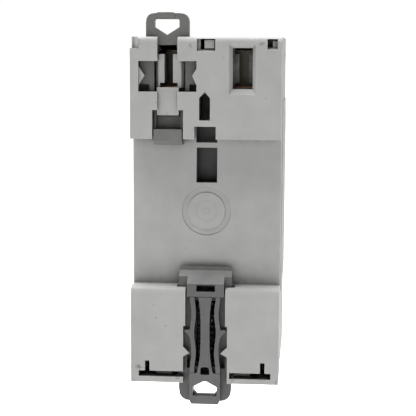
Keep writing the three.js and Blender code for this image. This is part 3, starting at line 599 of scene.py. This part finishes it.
# A wire wound on a screw line from the piece's foot, with its ends closed.
def coil(name, radius, wire, length, turns, sides=10, steps=20):
    bpy.ops.mesh.primitive_circle_add(vertices=sides, radius=wire * mm, rotation=(math.pi / 2, 0, 0),
                                      location=(radius * mm, 0, wire * mm))
    piece = bpy.context.object
    piece.name = name
    bpy.ops.object.transform_apply()
    applyModifier(piece, "SCREW", angle=2 * math.pi, screw_offset=(length - 2 * wire) / turns * mm,
                  iterations=turns, steps=steps, render_steps=steps, axis="Z")
    inEdit(piece, lambda: bpy.ops.mesh.fill_holes(sides=0),
           lambda: bpy.ops.mesh.normals_make_consistent(inside=False))
    return piece


# A spring's closed end turn, so that it stands flat on its seat.
def endTurn(radius, wire, height):
    bpy.ops.mesh.primitive_torus_add(major_segments=28, minor_segments=10, major_radius=radius * mm,
                                     minor_radius=wire * mm, location=(0, 0, height * mm))
    ring = bpy.context.object
    bpy.ops.object.transform_apply()
    return ring


springs = {
    "lower_clip_spring": {"radius": 1.65, "wire": 0.3, "length": 14.8, "turns": 10, "axis": "Z",
                          "place": (0.15, 0.9, -37)},
    "test_spring": {"radius": 2.15, "wire": 0.34, "length": 7, "turns": 4, "axis": "Y",
                    "place": (9.5, 44.7, 7.5)},
    "toggle_spring": {"radius": 2.05, "wire": 0.26, "length": 2.5, "turns": 3, "axis": "X",
                      "place": (1.7, 48.5, 0)},
    "contact_spring_left": {"radius": 1.25, "wire": 0.22, "length": 3.8, "turns": 4, "axis": "Y",
                            "place": (-9, 11, 4.5)},
    "contact_spring_right": {"radius": 1.25, "wire": 0.22, "length": 3.8, "turns": 4, "axis": "Y",
                             "place": (9, 11, 4.5)},
}
squashes = {
    "lower_clip_spring": ("lower_clip_slide", (0, 0, 1), (0, 0, -37), 0.554),
    "test_spring": ("test_button_slide", (0, 1, 0), (0, 44.7, 0), 0.714),
}


def buildSpring(name, look):
    wound = coil(name + "_wire", look["radius"], look["wire"], look["length"], look["turns"])
    ends = [endTurn(look["radius"], look["wire"], height)
            for height in (look["wire"], look["length"] - look["wire"])]
    piece = joined(name + "_wire", wound, *ends)
    layAlong(piece, look["axis"], look["place"])
    finishPiece(piece, bodyOf[name], slotOf[name], (name,), smooth=60)
    if name in squashes:
        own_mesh(piece)


for name, look in springs.items():
    buildSpring(name, look)
print("springs wound:", len(springs))


screw = {"shank": 2.0, "thread": 0.3, "pitch": 0.7, "turns": 15, "tip": 23.4}


def buildScrew(name):
    low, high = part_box(name)
    centre = ((low[0] + high[0]) / 2 / mm, screw["tip"], (low[2] + high[2]) / 2 / mm)
    thread = coil(name + "_thread", screw["shank"], screw["thread"],
                  screw["turns"] * screw["pitch"] + 2 * screw["thread"], screw["turns"], sides=4, steps=24)
    layAlong(thread, "Y", centre)
    whole = joined(name + "_threaded", refinedCopy(name, 0.2), thread)
    finishPiece(whole, bodyOf[name], slotOf[name], (name,))


for end in ("line", "load"):
    for pole in ("left", "right"):
        buildScrew(f"{end}_terminal_screw_{pole}")
print("screws threaded: 4")


winding = {"centre": (0, 17.9, -18), "middle": 10, "halfWidth": 2.95, "halfHeight": 4.5, "wire": 0.28,
           "turns": 52, "from": 110, "sweep": 320}


# One squared turn of wire is stretched to the core's section and repeated round it.
def buildWinding(look):
    bpy.ops.mesh.primitive_torus_add(major_segments=4, minor_segments=8, minor_radius=look["wire"] * mm,
                                     major_radius=look["halfWidth"] * math.sqrt(2) * mm,
                                     rotation=(0, 0, math.pi / 4))
    piece = bpy.context.object
    piece.name = "toroid_turns"
    bpy.ops.object.transform_apply()
    stretch = (look["halfHeight"] - look["halfWidth"]) * mm
    for side in (-1, 1):
        for vertex in piece.data.vertices:
            vertex.select = vertex.co.y * side > 0
        bpy.ops.object.mode_set(mode="EDIT")
        bpy.ops.transform.translate(value=(0, side * stretch, 0))
        bpy.ops.mesh.select_all(action="DESELECT")
        bpy.ops.object.mode_set(mode="OBJECT")
    piece.rotation_euler = (math.pi / 2, 0, 0)
    bpy.ops.object.transform_apply()
    start = math.radians(look["from"])
    piece.rotation_euler = (0, 0, start)
    centre = Vector(look["centre"])
    piece.location = (centre + Vector((math.cos(start), math.sin(start), 0)) * look["middle"]) * mm
    bpy.ops.object.transform_apply()
    inEdit(piece, lambda: bpy.ops.mesh.spin(
        steps=look["turns"], dupli=True, angle=math.radians(look["sweep"]), use_auto_merge=False,
        center=centre * mm, axis=(0, 0, 1)))
    name = "toroid_winding"
    finishPiece(piece, bodyOf[name], slotOf[name], (name,), smooth=60)


buildWinding(winding)
print("winding turns:", winding["turns"])

lead = {"radius": 1.4, "path": ((9, 16, -5.6), (8.6, 16.1, -7.4), (6.6, 16.9, -9.6), (4, 17.9, -11.6),
                                (2.9, 17.9, -14.5), (2.9, 17.9, -21.5), (3.6, 18, -24.0), (7.0, 20.6, -24.9),
                                (9, 21.5, -27)),
        "bendFrom": -11.6, "bendTo": -6.2}


def buildLead(pole, side):
    name = f"flexible_lead_{pole}"
    bpy.ops.curve.primitive_nurbs_path_add()
    path = bpy.context.object
    spline = path.data.splines[0]
    spline.points.add(len(lead["path"]) - len(spline.points))
    for point, (x, y, z) in zip(spline.points, lead["path"]):
        point.co = (side * x * mm, y * mm, z * mm, 1)
    spline.order_u, spline.use_endpoint_u, spline.resolution_u = 3, True, 8
    path.data.bevel_depth, path.data.bevel_resolution = lead["radius"] * mm, 5
    path.data.use_fill_caps = True
    only(path)
    bpy.ops.object.convert(target="MESH")
    piece = bpy.context.object
    piece.name = name + "_cord"
    finishPiece(piece, None, slotOf[name], (name,), smooth=50)
    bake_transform(piece)


buildLead("left", -1)
buildLead("right", 1)
print("leads drawn: 2")


# Each cage keeps the small sheared pip in the middle of its guard edge.
pip = {"radius": 0.3, "fromEnd": 0.25}


def buildCage(name, upper):
    low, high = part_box(name)
    z = high[2] - pip["fromEnd"] * mm if upper else low[2] + pip["fromEnd"] * mm
    bpy.ops.mesh.primitive_uv_sphere_add(segments=16, ring_count=10, radius=pip["radius"] * mm,
                                         location=((low[0] + high[0]) / 2, low[1], z))
    bead = bpy.context.object
    bpy.ops.object.transform_apply()
    finishPiece(joined(name + "_finished", refinedCopy(name, 0.3), bead), bodyOf[name], slotOf[name], (name,))


for pole in ("left", "right"):
    buildCage(f"line_terminal_cage_{pole}", True)
    buildCage(f"load_terminal_cage_{pole}", False)
print("cages finished: 4")


grip = {"pin": (48.5, 0), "tilt": 28, "x": (-11.9, -1.1), "radius": 0.32, "reach": 16.3,
        "from": 10.8, "gap": 1.05, "count": 5, "halfAtHub": 3.1, "halfAtTip": 1.9, "hub": 7.4}


# Ridges across both faces of the lever, turned with it about its pin.
def buildGrip(look):
    pinY, pinZ = look["pin"]
    turn = math.radians(look["tilt"])
    bars = [refinedCopy("toggle_handle", 0.3)]
    for index in range(look["count"]):
        out = look["from"] + index * look["gap"]
        share = (out - look["hub"]) / (look["reach"] - look["hub"])
        half = look["halfAtHub"] + share * (look["halfAtTip"] - look["halfAtHub"])
        for side in (-1, 1):
            y = pinY + out * math.cos(turn) - side * half * math.sin(turn)
            z = pinZ + out * math.sin(turn) + side * half * math.cos(turn)
            bpy.ops.mesh.primitive_cylinder_add(
                vertices=16, radius=look["radius"] * mm, depth=(look["x"][1] - look["x"][0]) * mm,
                location=(sum(look["x"]) / 2 * mm, y * mm, z * mm), rotation=(0, math.pi / 2, 0))
            bar = bpy.context.object
            bpy.ops.object.transform_apply()
            applyModifier(bar, "BEVEL", width=0.12 * mm, segments=2, limit_method="ANGLE")
            bars.append(bar)
    name = "toggle_handle"
    finishPiece(joined("toggle_ribbed", *bars), bodyOf[name], slotOf[name], (name,))


buildGrip(grip)
print("grip ribs:", 2 * grip["count"])


rivets = {"places": ((40.2, 37.6), (40.2, -37.4), (12.5, 31.5), (12.5, -27.5)), "floor": 17.25,
          "radius": 1.55, "height": 0.42}
labels = {"y": (55.62, 55.9), "halfWidth": 15.2, "z": ((13.6, 20), (-20, -13.4))}
marks = (("I", (-6.5, 56, 10.4), 2.2), ("O", (-6.5, 56, -12.2), 2.2), ("T", (9.5, 56, -0.9), 2.4),
         ("1", (9, 56, 20.65), 1.5), ("N", (-9, 56, 20.65), 1.5), ("2", (9, 56, -21.9), 1.5),
         ("N", (-9, 56, -21.9), 1.5))


def buildRivets(look):
    heads = []
    for side in (-1, 1):
        for y, z in look["places"]:
            bpy.ops.mesh.primitive_uv_sphere_add(segments=28, ring_count=14, radius=look["radius"] * mm,
                                                 location=(side * look["floor"] * mm, y * mm, z * mm),
                                                 rotation=(0, math.pi / 2, 0))
            head = bpy.context.object
            head.scale = (1, 1, look["height"] / look["radius"])
            bpy.ops.object.transform_apply()
            inEdit(head, lambda: bpy.ops.mesh.bisect(
                plane_co=(side * (look["floor"] + 0.01) * mm, 0, 0), plane_no=(side, 0, 0), use_fill=True,
                clear_inner=True))
            heads.append(head)
    finishPiece(joined("rivet_heads", *heads), "housing", "steel", smooth=60)


def buildLabels(look):
    plates = []
    for low, high in look["z"]:
        bpy.ops.mesh.primitive_cube_add(size=1, location=(0, sum(look["y"]) / 2 * mm, (low + high) / 2 * mm))
        plate = bpy.context.object
        plate.scale = (2 * look["halfWidth"] * mm, (look["y"][1] - look["y"][0]) * mm, (high - low) * mm)
        bpy.ops.object.transform_apply()
        applyModifier(plate, "BEVEL", width=0.1 * mm, segments=2)
        plates.append(plate)
    finishPiece(joined("label_plates", *plates), "housing", slotOf["front_cover"])


def buildMarks(signs):
    letters = []
    for sign, place, size in signs:
        bpy.ops.object.text_add(location=Vector(place) * mm, rotation=(math.pi / 2, 0, math.pi))
        letter = bpy.context.object
        letter.data.body, letter.data.size = sign, size * mm
        letter.data.align_x, letter.data.extrude = "CENTER", 0.06 * mm
        bpy.ops.object.convert(target="MESH")
        bpy.ops.object.transform_apply()
        letters.append(bpy.context.object)
    finishPiece(joined("front_marks", *letters), "housing", slotOf["toggle_handle"])


buildRivets(rivets)
buildLabels(labels)
buildMarks(marks)
print("rivets, labels and marks added")

buildStudio(studio)
buildCamera(cameraSetup)
